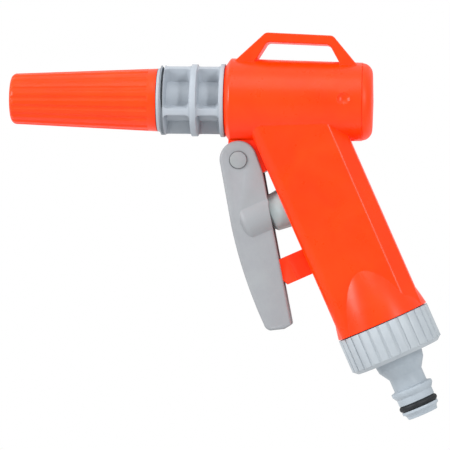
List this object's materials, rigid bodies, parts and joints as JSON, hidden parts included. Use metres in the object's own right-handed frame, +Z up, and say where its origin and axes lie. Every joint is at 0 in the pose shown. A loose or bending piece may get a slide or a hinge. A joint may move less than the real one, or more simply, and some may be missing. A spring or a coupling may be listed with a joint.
{
  "type": "trigger hose nozzle",
  "caption": "Hand-held trigger water-spray nozzle with twist-adjust fluted sleeve, squeeze lever, hanging loop and snap-in hose tail.",
  "frame": {"origin": "centre of the snap ridge on the hose tail", "axes": "+Z up, +X rearward towards the user along the level barrel axis, -X the way the water sprays, -Y the left side"},
  "size_m": [0.1731, 0.0382, 0.1535],
  "materials": {
    "orange_shell": "satin moulded",
    "orange_cap": "satin moulded",
    "orange_sleeve": "satin moulded",
    "orange_catch": "satin moulded",
    "collar_grey": "satin moulded",
    "lever_grey": "satin moulded",
    "plunger_grey": "satin moulded",
    "nut_grey": "satin moulded",
    "tail_grey": "satin moulded",
    "inner_black": "moulded",
    "inner_white": "moulded",
    "rubber": "matt",
    "filter_mesh": "perforated",
    "steel": "drawn",
    "pin_grey": "satin moulded"
  },
  "bodies": {
    "gun": {"pistol_body": "orange_shell", "rear_cap": "orange_cap", "barrel_collar": "collar_grey", "nozzle_stem": "inner_black", "valve_body": "inner_black", "valve_plug": "inner_black", "gland_nut": "inner_black", "stem_seal": "rubber", "valve_spring": "steel", "riser_tube": "inner_white", "riser_gaskets": "rubber", "inlet_tube": "inner_white", "inlet_gasket": "rubber", "ring_nut": "nut_grey", "hose_tail": "tail_grey", "tail_o_ring": "rubber", "inlet_washer": "rubber", "inlet_filter": "filter_mesh", "catch_pin": "steel"},
    "lever": {"lever": "lever_grey", "lever_pin": "pin_grey"},
    "plunger": {"plunger_cap": "plunger_grey", "valve_stem": "steel", "poppet_seal": "rubber", "poppet": "inner_black"},
    "catch": {"hold_open_catch": "orange_catch"},
    "sleeve_seal": {"sleeve_o_ring": "rubber"},
    "sleeve": {"spray_sleeve": "orange_sleeve"}
  },
  "joints": [
    {"name": "lever_squeeze", "type": "hinge", "parent": "gun", "child": "lever", "pos_m": [-0.0698, 0, 0.09], "axis": [0, -1, 0], "range_deg": [0, 11], "stiffness_Nm_per_rad": 0.9, "springref_deg": -11.46},
    {"name": "plunger_travel", "type": "slide", "parent": "gun", "child": "plunger", "axis": [0.9107, 0, 0.4131], "range_m": [0, 0.0049], "deforming": ["valve_spring"]},
    {"name": "catch_swing", "type": "hinge", "parent": "gun", "child": "catch", "pos_m": [-0.03728, 0, 0.05216], "axis": [0, 1, 0], "range_deg": [0, 8]},
    {"name": "sleeve_advance", "type": "slide", "parent": "gun", "child": "sleeve_seal", "axis": [-1, 0, 0], "range_m": [0, 0.0061]},
    {"name": "sleeve_twist", "type": "hinge", "parent": "sleeve_seal", "child": "sleeve", "pos_m": [-0.1338, 0, 0.1138], "axis": [-1, 0, 0], "range_deg": [0, 720]}
  ],
  "couplings": [
    {"joint": "plunger_travel", "follows": "lever_squeeze", "m_per_rad": 0.0252},
    {"joint": "sleeve_advance", "follows": "sleeve_twist", "m_per_rad": 0.0004775}
  ]
}
